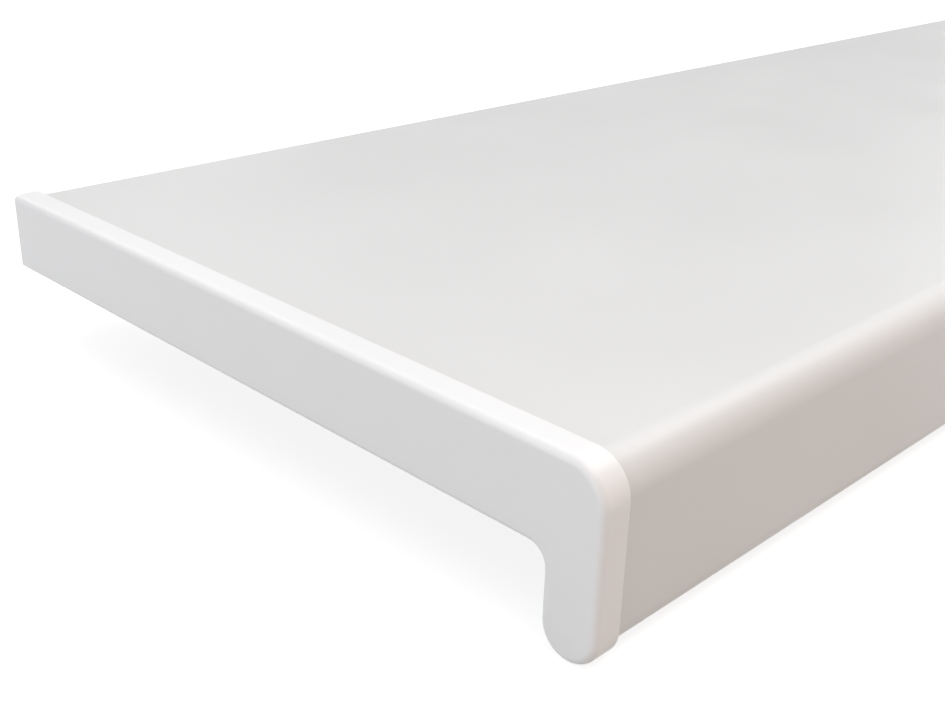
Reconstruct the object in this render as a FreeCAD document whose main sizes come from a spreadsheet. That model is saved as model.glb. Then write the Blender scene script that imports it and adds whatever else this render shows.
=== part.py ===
import FreeCAD
import Part
import Sketcher
import math
import os

# A white window sill board: a hollow plastic extrusion whose front edge drops into a rounded nose, with a
# moulded end cap pushed over its left end. The right end is a plain saw cut that shows the chambers.
# Millimetres. +X runs along the board, +Y from the nose to the back edge, +Z up. The origin lies under the
# middle of the whole part, at the height of its lowest point.

SIZES = (
    ("length", 1000.0, "board, from sawn end to sawn end"),
    ("depth", 200.0, "board, from the nose's front face to the back edge"),
    ("body_thickness", 19.0, "board behind the nose"),
    ("nose_height", 38.0, "board's top face to the bottom of the nose"),
    ("nose_thickness", 10.5, "nose, from its front face to its inner face"),
    ("nose_top_radius", 7.0, "round between the top face and the front face"),
    ("nose_root_radius", 5.0, "round between the nose's inner face and the underside"),
    ("back_edge_radius", 0.8, "board's two edges along the back"),
    ("wall", 2.4, "outer walls of the extrusion"),
    ("web", 1.4, "upright webs between the chambers"),
    ("chamber_count", 8, "chambers across the depth, above the underside"),
    ("chamber_corner_radius", 0.8, "inside corners of the chambers"),
    ("cap_face_thickness", 2.0, "end cap's closing face"),
    ("lip_thickness", 1.0, "end cap's lip, which laps over the board"),
    ("lip_overlap", 5.0, "how far the lip reaches along the board"),
    ("lip_clearance", 0.1, "gap between the lip and the board's surface"),
    ("cap_edge_radius", 1.6, "rolled edge round the cap's closing face"),
    ("lip_edge_radius", 0.5, "free edge of the lip"),
)

doc = FreeCAD.newDocument("window_sill_board")

sheet = doc.addObject("Spreadsheet::Sheet", "Sizes")
for row, (alias, size, meaning) in enumerate(SIZES, start=1):
    sheet.set(f"A{row}", meaning)
    sheet.set(f"B{row}", str(size))
    sheet.setAlias(f"B{row}", alias)
doc.recompute()

# Levels and distances in the cross-section, counted from the cap's front face and from its lowest point, so that
# the board stands back from both by the cap's lip and its clearance.
PROUD = "(Sizes.lip_thickness + Sizes.lip_clearance)"
BOARD_FRONT = PROUD
BOARD_BACK = f"({PROUD} + Sizes.depth)"
NOSE_INNER = f"({PROUD} + Sizes.nose_thickness)"
NOSE_BOTTOM = PROUD
BOARD_TOP = f"({PROUD} + Sizes.nose_height)"
UNDERSIDE = f"({BOARD_TOP} - Sizes.body_thickness)"
CAP_TOP = f"({BOARD_TOP} + {PROUD})"
CAP_NOSE_INNER = f"({NOSE_INNER} + {PROUD})"
CAP_ROOT_RADIUS = f"(Sizes.nose_root_radius - {PROUD})"
LIP_END = f"({UNDERSIDE} - Sizes.nose_root_radius)"

# The chambers share the width between the front and back walls evenly.
CHAMBER_WIDTH = "((Sizes.depth - 2 * Sizes.wall - (Sizes.chamber_count - 1) * Sizes.web) / Sizes.chamber_count)"
CHAMBER_PITCH = f"({CHAMBER_WIDTH} + Sizes.web)"
CHAMBER_FRONT = f"({BOARD_FRONT} + Sizes.wall)"
CHAMBER_FLOOR = f"({UNDERSIDE} + Sizes.wall)"
CHAMBER_ROOF = f"({BOARD_TOP} - Sizes.wall)"


def number(expression):
    """Gives the value that an expression of sizes has now."""
    return float(sheet.evalExpression(expression))


def new_body(label):
    """Adds a body whose local zero is the board's left sawn end, the cap's front and the cap's lowest point."""
    body = doc.addObject("PartDesign::Body", label)
    body.Label = label
    body.setExpression("Placement.Base.x", "(Sizes.cap_face_thickness - Sizes.length) / 2")
    body.setExpression("Placement.Base.y", f"-{BOARD_BACK} / 2")
    return body


def new_section_sketch(body, name):
    """Adds a sketch on the body's cross-section plane: across is Y, up is Z."""
    sketch = body.newObject("Sketcher::SketchObject", name)
    plane = [feature for feature in body.Origin.OriginFeatures if feature.Role == "YZ_Plane"][0]
    sketch.AttachmentSupport = [(plane, "")]
    sketch.MapMode = "FlatFace"
    return sketch


class Across:
    """A level side of an outline, at a height."""

    def __init__(self, height):
        self.place = height
        self.upright = False


class Upright:
    """An upright side of an outline, at a distance from the front."""

    def __init__(self, distance):
        self.place = distance
        self.upright = True


class Sharp:
    """A corner without a round."""


class Round:
    """A corner with a round of a given radius."""

    def __init__(self, radius):
        self.radius = radius


class HalfRound:
    """A half circle that closes the lower ends of two upright sides."""

    def __init__(self, bottom):
        self.bottom = bottom


def corner_points(side, corner, following):
    """Gives the points where a side ends and the following one starts, before any rounding."""
    if isinstance(corner, HalfRound):
        bottom = number(corner.bottom)
        first = FreeCAD.Vector(number(side.place), bottom, 0)
        return first, FreeCAD.Vector(number(following.place), bottom, 0)
    upright, across = (side, following) if side.upright else (following, side)
    point = FreeCAD.Vector(number(upright.place), number(across.place), 0)
    return point, point


def corner_radius(side, corner, following):
    """Gives the radius that a corner takes off the sides it joins."""
    if isinstance(corner, HalfRound):
        return abs(number(following.place) - number(side.place)) / 2
    if isinstance(corner, Round):
        return number(corner.radius)
    return 0.0


def bind(sketch, constraint, expression):
    """Adds a dimension to a sketch and binds it to an expression of sizes."""
    index = sketch.addConstraint(constraint)
    sketch.setExpression(f"Constraints[{index}]", expression)


def place_side(sketch, line, side):
    """Keeps a side level or upright, and at its place."""
    kind, axis, distance = ("Vertical", -2, "DistanceX") if side.upright else ("Horizontal", -1, "DistanceY")
    sketch.addConstraint(Sketcher.Constraint(kind, line))
    if side.place == "0":
        sketch.addConstraint(Sketcher.Constraint("PointOnObject", line, 1, axis))
    else:
        bind(sketch, Sketcher.Constraint(distance, -1, 1, line, 1, number(side.place)), side.place)


def draw_arc(sketch, start, end, centre, heading):
    """Draws the arc from the end of one side to the start of the next, and says which of its ends comes first."""
    inward = centre - start
    turns_left = heading.x * inward.y - heading.y * inward.x > 0
    first, last = (start, end) if turns_left else (end, start)
    begin = math.atan2(first.y - centre.y, first.x - centre.x)
    finish = math.atan2(last.y - centre.y, last.x - centre.x)
    circle = Part.Circle(centre, FreeCAD.Vector(0, 0, 1), inward.Length)
    arc = sketch.addGeometry(Part.ArcOfCircle(circle, begin, finish), False)
    return (arc, 1, 2) if turns_left else (arc, 2, 1)


def draw_outline(sketch, *chain):
    """Draws a closed outline from a chain of sides, each followed by the corner that leads to the next side."""
    sides = chain[0::2]
    corners = chain[1::2]
    count = len(sides)
    following = [sides[(rank + 1) % count] for rank in range(count)]
    points = [corner_points(*joint) for joint in zip(sides, corners, following)]
    radii = [corner_radius(*joint) for joint in zip(sides, corners, following)]
    headings = [(points[rank][0] - points[rank - 1][1]).normalize() for rank in range(count)]
    starts = [points[rank - 1][1] + headings[rank] * radii[rank - 1] for rank in range(count)]
    ends = [points[rank][0] - headings[rank] * radii[rank] for rank in range(count)]
    lines = [sketch.addGeometry(Part.LineSegment(*span), False) for span in zip(starts, ends)]
    for line, side in zip(lines, sides):
        place_side(sketch, line, side)
    for rank, corner in enumerate(corners):
        after = (rank + 1) % count
        if isinstance(corner, Sharp):
            sketch.addConstraint(Sketcher.Constraint("Coincident", lines[rank], 2, lines[after], 1))
            continue
        half_round = isinstance(corner, HalfRound)
        if half_round:
            centre = (ends[rank] + starts[after]) / 2
        else:
            centre = starts[after] - headings[rank] * radii[rank]
        arc, near, far = draw_arc(sketch, ends[rank], starts[after], centre, headings[rank])
        sketch.addConstraint(Sketcher.Constraint("Tangent", lines[rank], 2, arc, near))
        sketch.addConstraint(Sketcher.Constraint("Tangent", arc, far, lines[after], 1))
        if half_round:
            middle = f"{corner.bottom} + abs({following[rank].place} - {sides[rank].place}) / 2"
            bind(sketch, Sketcher.Constraint("DistanceY", -1, 1, arc, 3, number(middle)), middle)
        else:
            bind(sketch, Sketcher.Constraint("Radius", arc, radii[rank]), corner.radius)


def add_pad(body, name, sketch, length, backwards=False):
    """Extrudes a section along the board, or away from it."""
    pad = body.newObject("PartDesign::Pad", name)
    pad.Profile = sketch
    pad.Reversed = backwards
    pad.setExpression("Length", length)
    doc.recompute()
    return pad


def add_chamber_pocket(body, name, sketch):
    """Cuts chambers through the whole length of the board."""
    pocket = body.newObject("PartDesign::Pocket", name)
    pocket.Profile = sketch
    pocket.Reversed = True
    pocket.setExpression("Length", "Sizes.length")
    doc.recompute()
    return pocket


def add_fillet(body, name, base, radius, wanted):
    """Rounds the edges of a feature that meet a test."""
    names = [f"Edge{rank}" for rank, edge in enumerate(base.Shape.Edges, start=1) if wanted(edge)]
    fillet = body.newObject("PartDesign::Fillet", name)
    fillet.Base = (base, names)
    fillet.setExpression("Radius", radius)
    doc.recompute()
    return fillet


def lies_at(edge, distance):
    """Tells whether an edge lies in the cross-section at a distance along the board."""
    box = edge.BoundBox
    return abs(box.XMin - distance) < 1e-4 and abs(box.XMax - distance) < 1e-4


# The board: one extruded section with a drop nose, then its chambers.
board = new_body("sill_board")

board_section = new_section_sketch(board, "board_section")
draw_outline(
    board_section,
    Across(BOARD_TOP),
    Round("Sizes.nose_top_radius"),
    Upright(BOARD_FRONT),
    HalfRound(NOSE_BOTTOM),
    Upright(NOSE_INNER),
    Round("Sizes.nose_root_radius"),
    Across(UNDERSIDE),
    Round("Sizes.back_edge_radius"),
    Upright(BOARD_BACK),
    Round("Sizes.back_edge_radius"),
)
board_blank = add_pad(board, "board_blank", board_section, "Sizes.length")

# The front chamber follows the rounded nose, and the nose has a narrow chamber of its own below it.
front_section = new_section_sketch(board, "front_chambers_section")
draw_outline(
    front_section,
    Across(CHAMBER_ROOF),
    Round("(Sizes.nose_top_radius - Sizes.wall)"),
    Upright(CHAMBER_FRONT),
    Round("Sizes.chamber_corner_radius"),
    Across(CHAMBER_FLOOR),
    Round("Sizes.chamber_corner_radius"),
    Upright(f"({CHAMBER_FRONT} + {CHAMBER_WIDTH})"),
    Round("Sizes.chamber_corner_radius"),
)
draw_outline(
    front_section,
    Across(UNDERSIDE),
    Round("Sizes.chamber_corner_radius"),
    Upright(CHAMBER_FRONT),
    HalfRound(f"({NOSE_BOTTOM} + Sizes.wall)"),
    Upright(f"({NOSE_INNER} - Sizes.wall)"),
    Round("Sizes.chamber_corner_radius"),
)
front_chambers = add_chamber_pocket(board, "front_chambers", front_section)

# The other chambers are alike, from the second one to the back wall.
chamber_section = new_section_sketch(board, "chamber_section")
draw_outline(
    chamber_section,
    Across(CHAMBER_ROOF),
    Round("Sizes.chamber_corner_radius"),
    Upright(f"({CHAMBER_FRONT} + {CHAMBER_PITCH})"),
    Round("Sizes.chamber_corner_radius"),
    Across(CHAMBER_FLOOR),
    Round("Sizes.chamber_corner_radius"),
    Upright(f"({CHAMBER_FRONT} + {CHAMBER_PITCH} + {CHAMBER_WIDTH})"),
    Round("Sizes.chamber_corner_radius"),
)
second_chamber = add_chamber_pocket(board, "second_chamber", chamber_section)

chamber_row = board.newObject("PartDesign::LinearPattern", "chamber_row")
chamber_row.Originals = [second_chamber]
chamber_row.Direction = (chamber_section, ["H_Axis"])
chamber_row.Mode = "Spacing"
chamber_row.setExpression("Offset", CHAMBER_PITCH)
chamber_row.setExpression("Occurrences", "Sizes.chamber_count - 1")
board.Tip = chamber_row
doc.recompute()

# The end cap: a closing face with the board's outline enlarged by the lip, flush with the board's underside and
# back edge so that the board still beds flat, and a lip that laps over the top, round the nose and up inside it.
cap = new_body("end_cap")

face_section = new_section_sketch(cap, "cap_face_section")
draw_outline(
    face_section,
    Across(CAP_TOP),
    Round(f"(Sizes.nose_top_radius + {PROUD})"),
    Upright("0"),
    HalfRound("0"),
    Upright(CAP_NOSE_INNER),
    Round(CAP_ROOT_RADIUS),
    Across(UNDERSIDE),
    Sharp(),
    Upright(BOARD_BACK),
    Sharp(),
)
cap_face = add_pad(cap, "cap_face", face_section, "Sizes.cap_face_thickness", backwards=True)

lip_section = new_section_sketch(cap, "cap_lip_section")
draw_outline(
    lip_section,
    Across(CAP_TOP),
    Round(f"(Sizes.nose_top_radius + {PROUD})"),
    Upright("0"),
    HalfRound("0"),
    Upright(CAP_NOSE_INNER),
    Sharp(),
    Across(LIP_END),
    Sharp(),
    Upright(f"({NOSE_INNER} + Sizes.lip_clearance)"),
    HalfRound(f"({NOSE_BOTTOM} - Sizes.lip_clearance)"),
    Upright(f"({BOARD_FRONT} - Sizes.lip_clearance)"),
    Round("(Sizes.nose_top_radius + Sizes.lip_clearance)"),
    Across(f"({BOARD_TOP} + Sizes.lip_clearance)"),
    Sharp(),
    Upright(BOARD_BACK),
    Sharp(),
)
cap_lip = add_pad(cap, "cap_lip", lip_section, "Sizes.lip_overlap")


def on_rolled_edge(edge):
    """Tells whether an edge bounds the cap's closing face on the outside, apart from the cut at its back."""
    at_back = edge.BoundBox.YMin > number(BOARD_BACK) - 1e-4
    return lies_at(edge, -number("Sizes.cap_face_thickness")) and not at_back


def on_lip_edge(edge):
    """Tells whether an edge bounds the lip's free end on the outside, apart from the cut at its back."""
    middle = edge.valueAt((edge.FirstParameter + edge.LastParameter) / 2)
    at_back = middle.y > number(BOARD_BACK) - 1e-4
    on_outline = face_section.Shape.distToShape(Part.Vertex(0, middle.y, middle.z))[0] < 1e-3
    return lies_at(edge, number("Sizes.lip_overlap")) and on_outline and not at_back


rolled_edge = add_fillet(cap, "rolled_edge", cap_lip, "Sizes.cap_edge_radius", on_rolled_edge)
lip_edge = add_fillet(cap, "lip_edge", rolled_edge, "Sizes.lip_edge_radius", on_lip_edge)
cap.Tip = lip_edge
doc.recompute()

for feature in doc.Objects:
    if "Invalid" in feature.State or "Error" in feature.State:
        raise RuntimeError(f"{feature.Label} does not build: {feature.State}")

for sketch in (board_section, front_section, chamber_section, face_section, lip_section):
    if not sketch.FullyConstrained:
        raise RuntimeError(f"{sketch.Label} is not fully constrained")

# Each step that takes material away has to have taken some.
cuts = (
    (board_blank, front_chambers),
    (front_chambers, second_chamber),
    (second_chamber, chamber_row),
    (cap_lip, rolled_edge),
    (rolled_edge, lip_edge),
)
for before, after in cuts:
    if not after.Shape.Volume < before.Shape.Volume:
        raise RuntimeError(f"{after.Label} takes nothing off {before.Label}")

os.makedirs("parts", exist_ok=True)
for piece in (board, cap):
    if piece.Shape.isNull() or not piece.Shape.isValid() or len(piece.Shape.Solids) != 1:
        raise RuntimeError(f"{piece.Label} is not one valid solid")
    piece.Shape.exportStep(f"parts/{piece.Label}.step")
    box = piece.Shape.optimalBoundingBox()
    extents = f"{box.XLength:.2f} x {box.YLength:.2f} x {box.ZLength:.2f} mm"
    print(f"{piece.Label}: {piece.Shape.Volume / 1000:.1f} cm3, {extents}")
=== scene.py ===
"""A white window sill board with a drop nose and a moulded end cap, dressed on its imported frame."""

import logging
import math
from collections.abc import Callable
from dataclasses import dataclass
from enum import Enum

import bmesh
import bpy
from mathutils import Matrix, Vector

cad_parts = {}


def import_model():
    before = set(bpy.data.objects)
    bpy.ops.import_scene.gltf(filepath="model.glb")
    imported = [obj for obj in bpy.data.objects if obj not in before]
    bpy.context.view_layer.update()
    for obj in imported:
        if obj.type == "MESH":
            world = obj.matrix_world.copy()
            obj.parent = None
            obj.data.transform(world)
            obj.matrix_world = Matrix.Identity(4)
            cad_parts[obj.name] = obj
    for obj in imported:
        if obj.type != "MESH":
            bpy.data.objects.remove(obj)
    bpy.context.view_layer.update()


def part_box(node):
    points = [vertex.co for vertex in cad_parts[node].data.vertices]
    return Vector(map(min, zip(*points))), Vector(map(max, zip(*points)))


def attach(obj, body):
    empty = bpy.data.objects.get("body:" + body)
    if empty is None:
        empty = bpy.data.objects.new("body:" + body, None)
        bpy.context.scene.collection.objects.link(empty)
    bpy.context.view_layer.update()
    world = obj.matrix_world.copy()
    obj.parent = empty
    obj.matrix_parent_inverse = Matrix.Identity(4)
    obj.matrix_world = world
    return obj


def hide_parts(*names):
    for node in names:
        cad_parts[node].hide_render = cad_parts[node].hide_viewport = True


LOG = logging.getLogger("window_sill_board")
MM = 0.001
TOUCH = 0.001 * MM
ROUND_PROFILE = 0.5
CRISP_ANGLE = math.radians(35.0)

Tone = tuple[float, float, float]
Place = tuple[float, float, float]
EdgeTest = Callable[[Vector, Vector], bool]


def pick(piece: bpy.types.Object) -> None:
    """Makes a piece the only selected one, and the active one.

    Args:
        piece: The piece that the next operators act on.
    """
    bpy.ops.object.select_all(action="DESELECT")
    piece.select_set(True)
    bpy.context.view_layer.objects.active = piece


def add_box(name: str, low: Vector, high: Vector) -> bpy.types.Object:
    """Adds a box at its size and place.

    Args:
        name: The new object's name.
        low: The box's lowest corner.
        high: The box's highest corner.

    Returns:
        The box, at the origin, with its place in its mesh.
    """
    bpy.ops.object.select_all(action="DESELECT")
    bpy.ops.mesh.primitive_cube_add(size=1.0, location=(low + high) / 2, scale=high - low)
    box = bpy.context.object
    box.name = name
    bpy.ops.object.transform_apply(location=True, rotation=True, scale=True)
    return box


def near(first: float, second: float) -> bool:
    """Tells whether two places are the same."""
    return abs(first - second) < TOUCH


def runs_at(across: float, height: float) -> EdgeTest:
    """Gives a test for the long edges at one place of the cross-section.

    Args:
        across: The edge's place from front to back.
        height: The edge's height.

    Returns:
        A test of an edge's two ends.
    """
    return lambda *ends: all(near(end.y, across) and near(end.z, height) for end in ends)


def merge_doubles(piece: bpy.types.Object) -> None:
    """Merges the points of a piece that lie in the same place.

    Args:
        piece: The piece to clean.
    """
    pick(piece)
    bpy.ops.object.mode_set(mode="EDIT")
    bpy.ops.mesh.select_all(action="SELECT")
    bpy.ops.mesh.remove_doubles(threshold=TOUCH)
    bpy.ops.object.mode_set(mode="OBJECT")


def round_edges(piece: bpy.types.Object, wanted: list[EdgeTest], radius: float, flats: int) -> None:
    """Rounds the edges of a piece that pass one of the tests.

    Args:
        piece: The piece to shape.
        wanted: The tests, each of an edge's two ends.
        radius: The round's radius.
        flats: How many flats make up the round.
    """
    pick(piece)
    bpy.ops.object.mode_set(mode="EDIT")
    bpy.ops.mesh.select_mode(type="EDGE")
    bpy.ops.mesh.select_all(action="DESELECT")
    mesh = bmesh.from_edit_mesh(piece.data)
    for edge in mesh.edges:
        ends = [corner.co for corner in edge.verts]
        edge.select_set(any(test(*ends) for test in wanted))
    bmesh.update_edit_mesh(piece.data)
    bpy.ops.mesh.bevel(offset=radius, segments=flats, profile=ROUND_PROFILE, affect="EDGES")
    bpy.ops.object.mode_set(mode="OBJECT")
    merge_doubles(piece)


def cut_away(piece: bpy.types.Object, cutter: bpy.types.Object) -> None:
    """Takes a cutter's shape out of a piece, and throws the cutter away.

    Args:
        piece: The piece to cut.
        cutter: The shape that is taken out.
    """
    pick(piece)
    cut = piece.modifiers.new("cut", "BOOLEAN")
    cut.operation = "DIFFERENCE"
    cut.solver = "EXACT"
    cut.object = cutter
    bpy.ops.object.modifier_apply(modifier=cut.name)
    bpy.data.objects.remove(cutter, do_unlink=True)
    merge_doubles(piece)


def shade(piece: bpy.types.Object) -> None:
    """Shades the rounds smoothly, and leaves the flats flat and the corners crisp.

    Args:
        piece: The finished piece.
    """
    pick(piece)
    bpy.ops.object.shade_smooth_by_angle(angle=CRISP_ANGLE)
    flats_lead = piece.modifiers.new("flats_lead", "WEIGHTED_NORMAL")
    flats_lead.keep_sharp = True
    bpy.ops.object.modifier_apply(modifier=flats_lead.name)


class Relief(Enum):
    """The marks that a way of making leaves in plastic, as the stretch of their pattern."""

    DIE_LINES = (3.0, 620.0, 620.0)
    MOULD_GRAIN = (420.0, 420.0, 420.0)
    SAW_ARCS = (0.0, 1.0, 1.0)


@dataclass(frozen=True)
class PlasticFinish:
    """A white plastic surface: its tones, its gloss and its fine relief."""

    name: str
    tone: Tone
    shade_tone: Tone
    roughness: tuple[float, float]
    relief: Relief
    relief_depth: float
    skin_depth: float
    saw_centre: Place = (0.0, 0.03, 0.17)
    saw_mark_scale: float = 1500.0
    mark_detail: float = 3.0
    cloud_scale: float = 9.0
    cloud_detail: float = 3.0
    smear_scale: float = 24.0
    smear_detail: float = 5.0
    skin_scale: float = 1500.0
    skin_detail: float = 2.0
    pattern_range: tuple[float, float] = (0.3, 0.7)
    refraction: float = 1.53

    def material(self) -> bpy.types.Material:
        """Builds the material, with an uneven tone, an uneven gloss and two sizes of relief.

        Returns:
            The new material.
        """
        material = bpy.data.materials.new(self.name)
        material.use_nodes = True
        tree = material.node_tree
        shader = tree.nodes["Principled BSDF"]
        shader.inputs["IOR"].default_value = self.refraction
        place = tree.nodes.new("ShaderNodeTexCoord").outputs["Object"]
        marks = self.marks(tree, place)
        clouds = self.noise(tree, place, self.cloud_scale, self.cloud_detail)
        smears = self.noise(tree, place, self.smear_scale, self.smear_detail)
        skin = self.noise(tree, place, self.skin_scale, self.skin_detail)

        tones = tree.nodes.new("ShaderNodeValToRGB")
        stops = zip(tones.color_ramp.elements, self.pattern_range, (self.shade_tone, self.tone))
        for stop, position, tone in stops:
            stop.position = position
            stop.color = (*tone, 1.0)
        shading = marks if self.relief is Relief.SAW_ARCS else clouds
        tree.links.new(shading, tones.inputs["Fac"])
        tree.links.new(tones.outputs["Color"], shader.inputs["Base Color"])

        gloss = tree.nodes.new("ShaderNodeMapRange")
        gloss.inputs["From Min"].default_value = self.pattern_range[0]
        gloss.inputs["From Max"].default_value = self.pattern_range[1]
        gloss.inputs["To Min"].default_value = self.roughness[0]
        gloss.inputs["To Max"].default_value = self.roughness[1]
        tree.links.new(smears, gloss.inputs["Value"])
        tree.links.new(gloss.outputs["Result"], shader.inputs["Roughness"])

        coarse = self.bump(tree, marks, self.relief_depth)
        fine = self.bump(tree, skin, self.skin_depth)
        tree.links.new(coarse.outputs["Normal"], fine.inputs["Normal"])
        tree.links.new(fine.outputs["Normal"], shader.inputs["Normal"])
        return material

    def marks(self, tree: bpy.types.NodeTree, place: bpy.types.NodeSocket) -> bpy.types.NodeSocket:
        """Adds the pattern of the marks: lines, grain, or arcs round the place of a saw blade.

        Args:
            tree: The material's nodes.
            place: The coordinates that the pattern lies on.

        Returns:
            The pattern's value.
        """
        stretch = tree.nodes.new("ShaderNodeMapping")
        stretch.inputs["Scale"].default_value = self.relief.value
        tree.links.new(place, stretch.inputs["Vector"])
        if self.relief is not Relief.SAW_ARCS:
            return self.noise(tree, stretch.outputs["Vector"], 1.0, self.mark_detail)
        reach = tree.nodes.new("ShaderNodeVectorMath")
        reach.operation = "DISTANCE"
        reach.inputs[1].default_value = self.saw_centre
        tree.links.new(stretch.outputs["Vector"], reach.inputs[0])
        arcs = tree.nodes.new("ShaderNodeTexNoise")
        arcs.noise_dimensions = "1D"
        arcs.inputs["Scale"].default_value = self.saw_mark_scale
        arcs.inputs["Detail"].default_value = self.mark_detail
        tree.links.new(reach.outputs["Value"], arcs.inputs["W"])
        return arcs.outputs["Fac"]

    @staticmethod
    def noise(
        tree: bpy.types.NodeTree, place: bpy.types.NodeSocket, scale: float, detail: float
    ) -> bpy.types.NodeSocket:
        """Adds a noise pattern.

        Args:
            tree: The material's nodes.
            place: The coordinates that the pattern lies on.
            scale: The pattern's scale.
            detail: How many finer layers it has.

        Returns:
            The pattern's value.
        """
        pattern = tree.nodes.new("ShaderNodeTexNoise")
        pattern.inputs["Scale"].default_value = scale
        pattern.inputs["Detail"].default_value = detail
        tree.links.new(place, pattern.inputs["Vector"])
        return pattern.outputs["Fac"]

    @staticmethod
    def bump(tree: bpy.types.NodeTree, height: bpy.types.NodeSocket, depth: float) -> bpy.types.Node:
        """Adds a bump.

        Args:
            tree: The material's nodes.
            height: The pattern that stands for the height.
            depth: The pattern's full depth.

        Returns:
            The bump's node.
        """
        bump = tree.nodes.new("ShaderNodeBump")
        bump.inputs["Distance"].default_value = depth
        tree.links.new(height, bump.inputs["Height"])
        return bump


EXTRUDED_PLASTIC = PlasticFinish(
    name="extruded_plastic",
    tone=(0.742, 0.741, 0.739),
    shade_tone=(0.728, 0.727, 0.727),
    roughness=(0.3, 0.38),
    relief=Relief.DIE_LINES,
    relief_depth=0.006 * MM,
    skin_depth=0.002 * MM,
)
MOULDED_PLASTIC = PlasticFinish(
    name="moulded_plastic",
    tone=(0.888, 0.885, 0.887),
    shade_tone=(0.873, 0.87, 0.873),
    roughness=(0.28, 0.38),
    relief=Relief.MOULD_GRAIN,
    relief_depth=0.004 * MM,
    skin_depth=0.002 * MM,
)
SAWN_PLASTIC = PlasticFinish(
    name="sawn_plastic",
    tone=(0.83, 0.828, 0.822),
    shade_tone=(0.7, 0.697, 0.69),
    roughness=(0.62, 0.8),
    relief=Relief.SAW_ARCS,
    relief_depth=0.12 * MM,
    skin_depth=0.01 * MM,
)


@dataclass
class NosedBlock:
    """A block with the sill's section: a flat body whose front edge drops into a rounded nose."""

    low: Vector
    high: Vector
    underside: float
    nose_inner: float
    top_radius: float
    root_radius: float = 0.0
    flats: int = 20

    def build(self, name: str) -> bpy.types.Object:
        """Models a slab, draws the nose down out of its front strip, and rounds the long edges.

        Args:
            name: The new object's name.

        Returns:
            The block.
        """
        block = add_box(name, Vector((self.low.x, self.low.y, self.underside)), self.high)
        bpy.ops.object.mode_set(mode="EDIT")
        bpy.ops.mesh.select_all(action="SELECT")
        bpy.ops.mesh.bisect(plane_co=(0.0, self.nose_inner, 0.0), plane_no=(0.0, 1.0, 0.0))
        bpy.ops.mesh.select_mode(type="FACE")
        bpy.ops.mesh.select_all(action="DESELECT")
        mesh = bmesh.from_edit_mesh(block.data)
        for face in mesh.faces:
            middle = face.calc_center_median()
            face.select_set(near(middle.z, self.underside) and middle.y < self.nose_inner)
        bmesh.update_edit_mesh(block.data)
        drop = (0.0, 0.0, self.low.z - self.underside)
        bpy.ops.mesh.extrude_region_move(TRANSFORM_OT_translate={"value": drop})
        bpy.ops.object.mode_set(mode="OBJECT")

        nose_edges = [runs_at(self.low.y, self.low.z), runs_at(self.nose_inner, self.low.z)]
        round_edges(block, nose_edges, (self.nose_inner - self.low.y) / 2, self.flats)
        round_edges(block, [runs_at(self.low.y, self.high.z)], self.top_radius, self.flats)
        if self.root_radius:
            root = runs_at(self.nose_inner, self.underside)
            round_edges(block, [root], self.root_radius, self.flats)
        return block


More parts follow.
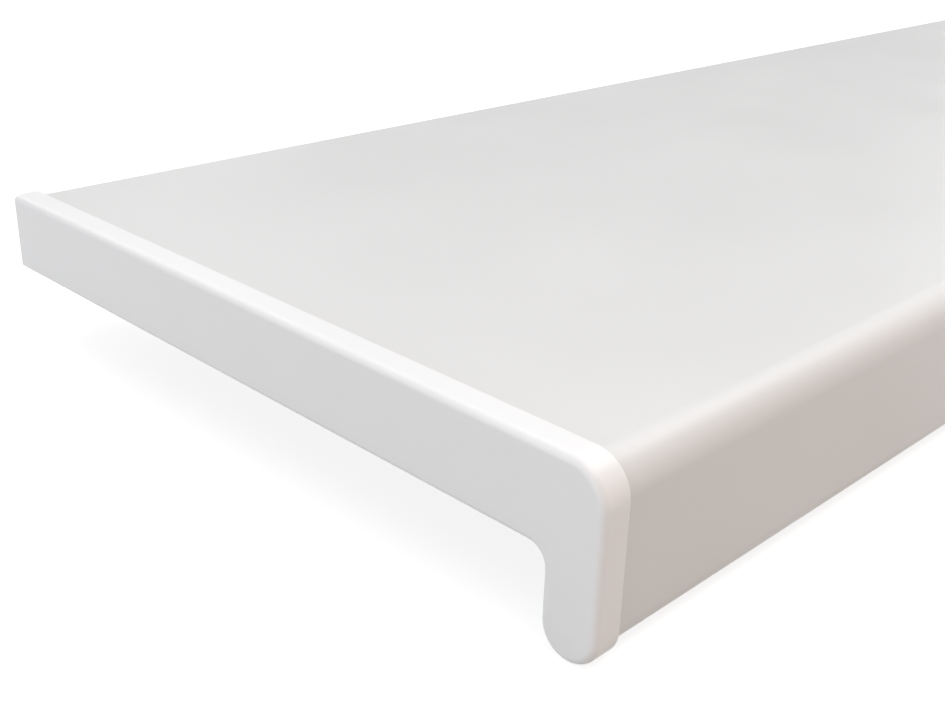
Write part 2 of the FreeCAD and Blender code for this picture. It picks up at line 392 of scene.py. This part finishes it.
@dataclass
class SillBoard:
    """The hollow board with its drop nose."""

    low: Vector
    high: Vector
    body_thickness: float = 19.0 * MM
    nose_thickness: float = 10.5 * MM
    nose_top_radius: float = 7.0 * MM
    nose_root_radius: float = 5.0 * MM
    back_edge_radius: float = 0.8 * MM
    back_edge_flats: int = 6
    wall: float = 2.4 * MM
    web: float = 1.4 * MM
    chamber_count: int = 8
    chamber_corner_radius: float = 0.8 * MM
    chamber_corner_flats: int = 4
    chamber_round_flats: int = 8
    cutter_spare: float = 5.0 * MM
    end_face_turn: float = 0.99

    @property
    def underside(self) -> float:
        """The height of the underside behind the nose."""
        return self.high.z - self.body_thickness

    @property
    def nose_inner(self) -> float:
        """The place of the nose's inner face."""
        return self.low.y + self.nose_thickness

    @property
    def chamber_pitch(self) -> float:
        """The distance from one chamber to the next."""
        inside = self.high.y - self.low.y - 2 * self.wall
        return (inside + self.web) / self.chamber_count

    def chamber(self, rank: int, front_radius: float) -> bpy.types.Object:
        """Models the space of one chamber, a little longer than the board.

        Args:
            rank: The chamber's place in the row, counted from the front.
            front_radius: The radius of its upper front corner.

        Returns:
            The space, to cut the board with.
        """
        front = self.low.y + self.wall + rank * self.chamber_pitch
        back = front + self.chamber_pitch - self.web
        floor = self.underside + self.wall
        roof = self.high.z - self.wall
        space = add_box(
            f"chamber_{rank}",
            Vector((self.low.x - self.cutter_spare, front, floor)),
            Vector((self.high.x + self.cutter_spare, back, roof)),
        )
        plain_corners = [runs_at(front, floor), runs_at(back, floor), runs_at(back, roof)]
        round_edges(space, plain_corners, self.chamber_corner_radius, self.chamber_corner_flats)
        round_edges(space, [runs_at(front, roof)], front_radius, self.chamber_round_flats)
        return space

    def nose_chamber(self) -> bpy.types.Object:
        """Models the narrow space inside the nose, with a round bottom that follows it.

        Returns:
            The space, to cut the board with.
        """
        front = self.low.y + self.wall
        back = self.nose_inner - self.wall
        floor = self.low.z + self.wall
        space = add_box(
            "nose_chamber",
            Vector((self.low.x - self.cutter_spare, front, floor)),
            Vector((self.high.x + self.cutter_spare, back, self.underside)),
        )
        bottom_corners = [runs_at(front, floor), runs_at(back, floor)]
        top_corners = [runs_at(front, self.underside), runs_at(back, self.underside)]
        round_edges(space, bottom_corners, (back - front) / 2, self.chamber_round_flats)
        round_edges(space, top_corners, self.chamber_corner_radius, self.chamber_corner_flats)
        return space

    def chamber_row(self) -> bpy.types.Object:
        """Models the second chamber and repeats it to the back wall.

        Returns:
            The spaces as one mesh, to cut the board with.
        """
        row = self.chamber(1, self.chamber_corner_radius)
        pick(row)
        repeat = row.modifiers.new("repeat", "ARRAY")
        repeat.count = self.chamber_count - 1
        repeat.use_relative_offset = False
        repeat.use_constant_offset = True
        repeat.constant_offset_displace = (0.0, self.chamber_pitch, 0.0)
        bpy.ops.object.modifier_apply(modifier=repeat.name)
        return row

    def build(self) -> bpy.types.Object:
        """Models the board and hollows it out.

        Returns:
            The dressed board.
        """
        block = NosedBlock(
            low=self.low,
            high=self.high,
            underside=self.underside,
            nose_inner=self.nose_inner,
            top_radius=self.nose_top_radius,
            root_radius=self.nose_root_radius,
        )
        board = block.build("board_extrusion")
        back_edges = [runs_at(self.high.y, self.high.z), runs_at(self.high.y, self.underside)]
        round_edges(board, back_edges, self.back_edge_radius, self.back_edge_flats)
        cut_away(board, self.chamber(0, self.nose_top_radius - self.wall))
        cut_away(board, self.nose_chamber())
        cut_away(board, self.chamber_row())
        shade(board)
        self.dress(board)
        return board

    def dress(self, board: bpy.types.Object) -> None:
        """Gives the board its drawn skin and its two ends their sawn one.

        Args:
            board: The modelled board.
        """
        board.data.materials.clear()
        board.data.materials.append(EXTRUDED_PLASTIC.material())
        board.data.materials.append(SAWN_PLASTIC.material())
        for face in board.data.polygons:
            face.material_index = int(abs(face.normal.x) > self.end_face_turn)
        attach(board, "root")
        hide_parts("sill_board")


@dataclass
class EndCap:
    """The moulded cap: a closing face with a rolled edge, and a lip that laps over the board."""

    low: Vector
    high: Vector
    board: SillBoard
    face_thickness: float = 2.0 * MM
    lip_clearance: float = 0.1 * MM
    lip_end_height: float = 15.1 * MM
    rolled_edge_radius: float = 1.6 * MM
    rolled_edge_flats: int = 8
    lip_edge_radius: float = 0.5 * MM
    lip_edge_flats: int = 5
    socket_spare: float = 5.0 * MM

    def on_outline(self, across: float) -> EdgeTest:
        """Gives a test for the outline's edges at one end, apart from the cut at the back.

        Args:
            across: The place of that end along the board.

        Returns:
            A test of an edge's two ends.
        """

        def test(first: Vector, second: Vector) -> bool:
            """Tells whether an edge is part of the outline."""
            at_end = near(first.x, across) and near(second.x, across)
            at_back = near(first.y, self.high.y) and near(second.y, self.high.y)
            return at_end and not at_back

        return test

    def socket(self) -> bpy.types.Object:
        """Models the space that the board's end takes up inside the lip.

        Returns:
            The space, to cut the cap with.
        """
        board = self.board
        room = Vector((0.0, self.lip_clearance, self.lip_clearance))
        low = Vector((self.low.x + self.face_thickness, board.low.y, board.low.z)) - room
        spare = Vector((self.socket_spare, self.socket_spare, 0.0))
        high = Vector((self.high.x, self.high.y, board.high.z + self.lip_clearance)) + spare
        space = NosedBlock(
            low=low,
            high=high,
            underside=self.lip_end_height,
            nose_inner=board.nose_inner + self.lip_clearance,
            top_radius=board.nose_top_radius + self.lip_clearance,
        )
        return space.build("cap_socket")

    def build(self) -> bpy.types.Object:
        """Models the cap round the board's end.

        Returns:
            The dressed cap.
        """
        board = self.board
        proud = board.low.y - self.low.y
        block = NosedBlock(
            low=self.low,
            high=self.high,
            underside=board.underside,
            nose_inner=board.nose_inner + proud,
            top_radius=board.nose_top_radius + proud,
            root_radius=board.nose_root_radius - proud,
        )
        cap = block.build("cap_moulding")
        rolled_edge, lip_edge = self.on_outline(self.low.x), self.on_outline(self.high.x)
        round_edges(cap, [rolled_edge], self.rolled_edge_radius, self.rolled_edge_flats)
        round_edges(cap, [lip_edge], self.lip_edge_radius, self.lip_edge_flats)
        cut_away(cap, self.socket())
        shade(cap)
        self.dress(cap)
        return cap

    def dress(self, cap: bpy.types.Object) -> None:
        """Gives the cap its moulded skin.

        Args:
            cap: The modelled cap.
        """
        cap.data.materials.clear()
        cap.data.materials.append(MOULDED_PLASTIC.material())
        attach(cap, "root")
        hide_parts("end_cap")


@dataclass(frozen=True)
class SoftBox:
    """A studio lamp with a soft front."""

    name: str
    place: Place
    aim: Place
    width: float
    height: float
    power: float
    tint: Tone = (1.0, 1.0, 1.0)

    def hang(self) -> bpy.types.Object:
        """Hangs the lamp at its place and points it.

        Returns:
            The lamp.
        """
        bpy.ops.object.light_add(type="AREA", location=self.place)
        lamp = bpy.context.object
        lamp.name = self.name
        lamp.rotation_euler = (Vector(self.aim) - Vector(self.place)).to_track_quat("-Z", "Y").to_euler()
        lamp.data.shape = "RECTANGLE"
        lamp.data.size = self.width
        lamp.data.size_y = self.height
        lamp.data.energy = self.power
        lamp.data.color = self.tint
        return lamp


@dataclass(frozen=True)
class RoomBand:
    """The room's tone at one height, the sine of the angle above the horizon."""

    height: float
    tone: Tone


@dataclass
class Studio:
    """The pale floor, the soft light and the camera."""

    floor_width: float = 200.0
    floor_tone: float = 0.32
    floor_glow: float = 0.8
    far_floor_glow: float = 1.0
    shadow_reach: tuple[float, float] = (0.9, 1.6)
    floor_shown_tone: float = 0.4
    camera_place: Place = (-0.640348, -0.206911, 0.136150)
    camera_aim: Place = (0.652963, 0.643229, -0.399870)
    camera_up: Place = (0.264235, 0.301319, 0.916180)
    camera_lens: float = 47.5858
    sensor_width: float = 36.0
    nearest_seen: float = 0.01

    def lay_floor(self) -> bpy.types.Object:
        """Lays the floor.

        Returns:
            The floor.
        """
        bpy.ops.object.select_all(action="DESELECT")
        bpy.ops.mesh.primitive_plane_add(size=self.floor_width)
        floor = bpy.context.object
        floor.name = "floor"
        floor.data.materials.append(self.floor_material())
        return floor

    def floor_material(self) -> bpy.types.Material:
        """Builds a floor that shows white to the eye and in gloss, with a light shadow.

        Returns:
            The new material.
        """
        material = bpy.data.materials.new("pale_floor")
        material.use_nodes = True
        tree = material.node_tree
        tree.nodes.clear()
        plain = tree.nodes.new("ShaderNodeBsdfDiffuse")
        plain.inputs["Color"].default_value = (*[self.floor_tone] * 3, 1.0)
        shadowed = tree.nodes.new("ShaderNodeBsdfDiffuse")
        shadowed.inputs["Color"].default_value = (*[self.floor_shown_tone] * 3, 1.0)
        glow = tree.nodes.new("ShaderNodeEmission")
        tree.links.new(self.glow_strength(tree), glow.inputs["Strength"])
        shown = tree.nodes.new("ShaderNodeAddShader")
        tree.links.new(shadowed.outputs["BSDF"], shown.inputs[0])
        tree.links.new(glow.outputs["Emission"], shown.inputs[1])
        choice = tree.nodes.new("ShaderNodeMixShader")
        tree.links.new(self.seen_directly(tree), choice.inputs["Fac"])
        tree.links.new(plain.outputs["BSDF"], choice.inputs[1])
        tree.links.new(shown.outputs["Shader"], choice.inputs[2])
        output = tree.nodes.new("ShaderNodeOutputMaterial")
        tree.links.new(choice.outputs["Shader"], output.inputs["Surface"])
        return material

    def glow_strength(self, tree: bpy.types.NodeTree) -> bpy.types.NodeSocket:
        """Adds the floor's own glow, which leaves room for the shadow near the object.

        Args:
            tree: The floor's nodes.

        Returns:
            The strength of the glow, by the distance from the object.
        """
        place = tree.nodes.new("ShaderNodeTexCoord")
        away = tree.nodes.new("ShaderNodeVectorMath")
        away.operation = "LENGTH"
        tree.links.new(place.outputs["Object"], away.inputs[0])
        brighten = tree.nodes.new("ShaderNodeMapRange")
        brighten.inputs["From Min"].default_value = self.shadow_reach[0]
        brighten.inputs["From Max"].default_value = self.shadow_reach[1]
        brighten.inputs["To Min"].default_value = self.floor_glow
        brighten.inputs["To Max"].default_value = self.far_floor_glow
        tree.links.new(away.outputs["Value"], brighten.inputs["Value"])
        return brighten.outputs["Result"]

    @staticmethod
    def seen_directly(tree: bpy.types.NodeTree) -> bpy.types.NodeSocket:
        """Adds a test for what the eye sees, straight, in gloss or through clear things.

        Args:
            tree: The floor's nodes.

        Returns:
            The test's value, 1 where the floor is seen and 0 where it only lights things.
        """
        rays = tree.nodes.new("ShaderNodeLightPath")
        seen = rays.outputs["Is Camera Ray"]
        for kind in ("Is Glossy Ray", "Is Transmission Ray"):
            either = tree.nodes.new("ShaderNodeMath")
            either.operation = "MAXIMUM"
            tree.links.new(seen, either.inputs[0])
            tree.links.new(rays.outputs[kind], either.inputs[1])
            seen = either.outputs["Value"]
        return seen

    def light(self) -> None:
        """Sets the room's tones, from the pale horizon up, and hangs the lamps."""
        world = bpy.data.worlds.new("studio_room")
        world.use_nodes = True
        tree = world.node_tree
        direction = tree.nodes.new("ShaderNodeTexCoord")
        height = tree.nodes.new("ShaderNodeSeparateXYZ")
        tree.links.new(direction.outputs["Generated"], height.inputs["Vector"])
        tones = tree.nodes.new("ShaderNodeValToRGB")
        stops = tones.color_ramp.elements
        stops[1].position = ROOM[-1].height
        for band in ROOM[1:-1]:
            stops.new(band.height)
        for stop, band in zip(stops, ROOM):
            stop.color = (*band.tone, 1.0)
        tree.links.new(height.outputs["Z"], tones.inputs["Fac"])
        tree.links.new(tones.outputs["Color"], tree.nodes["Background"].inputs["Color"])
        bpy.context.scene.world = world
        for lamp in LAMPS:
            LOG.info("lamp %s", lamp.hang().name)

    def set_camera(self) -> None:
        """Sets up the camera and the plain view of colours."""
        back = -Vector(self.camera_aim).normalized()
        right = Vector(self.camera_up).cross(back).normalized()
        turn = Matrix((right, back.cross(right), back)).transposed()
        bpy.ops.object.camera_add()
        camera = bpy.context.object
        camera.name = "camera"
        camera.matrix_world = Matrix.Translation(self.camera_place) @ turn.to_4x4()
        camera.data.lens = self.camera_lens
        camera.data.sensor_width = self.sensor_width
        camera.data.clip_start = self.nearest_seen
        bpy.context.scene.camera = camera
        bpy.context.scene.view_settings.view_transform = "Standard"


ROOM = (
    RoomBand(0.0, (1.0, 1.0, 1.0)),
    RoomBand(0.1, (0.4, 0.4, 0.4)),
    RoomBand(0.35, (0.25, 0.25, 0.25)),
    RoomBand(0.65, (0.2, 0.2, 0.2)),
    RoomBand(1.0, (0.1, 0.1, 0.1)),
)
LAMPS = (
    SoftBox(
        name="overhead_box",
        place=(0.75, 0.2, 1.9),
        aim=(0.0, 0.0, 0.03),
        width=2.4,
        height=1.8,
        power=25.6,
    ),
    SoftBox(
        name="near_box",
        place=(-0.6, -0.3, 0.9),
        aim=(-0.45, 0.0, 0.04),
        width=0.9,
        height=0.7,
        power=4.0,
    ),
    SoftBox(
        name="warm_front_box",
        place=(-0.2, -1.7, 0.55),
        aim=(-0.15, -0.1, 0.03),
        width=3.6,
        height=1.0,
        power=6.1,
        tint=(1.0, 0.45, 0.1),
    ),
    SoftBox(
        name="capped_end_box",
        place=(-2.2, 0.35, 0.7),
        aim=(-0.5, 0.0, 0.1),
        width=3.4,
        height=1.3,
        power=19.3,
        tint=(0.91, 0.955, 1.0),
    ),
    SoftBox(
        name="sawn_end_box",
        place=(2.1, -0.2, 0.75),
        aim=(0.3, 0.0, 0.03),
        width=2.4,
        height=1.3,
        power=10.3,
    ),
    SoftBox(
        name="back_box",
        place=(-0.1, 1.9, 1.3),
        aim=(0.0, 0.1, 0.03),
        width=2.2,
        height=1.0,
        power=5.9,
    ),
    SoftBox(
        name="highlight_box",
        place=(0.42, -0.18, 0.9),
        aim=(-0.35, -0.09, 0.04),
        width=0.5,
        height=0.5,
        power=0.65,
        tint=(0.75, 0.87, 1.0),
    ),
)


def main() -> None:
    """Builds the board, its cap and the studio."""
    logging.basicConfig(level=logging.INFO, format="%(message)s")
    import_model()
    board = SillBoard(*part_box("sill_board"))
    cap = EndCap(*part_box("end_cap"), board)
    for piece in (board.build(), cap.build()):
        LOG.info("piece %s: %d faces", piece.name, len(piece.data.polygons))
    studio = Studio()
    LOG.info("stage %s", studio.lay_floor().name)
    studio.light()
    studio.set_camera()


if __name__ == "__main__":
    main()
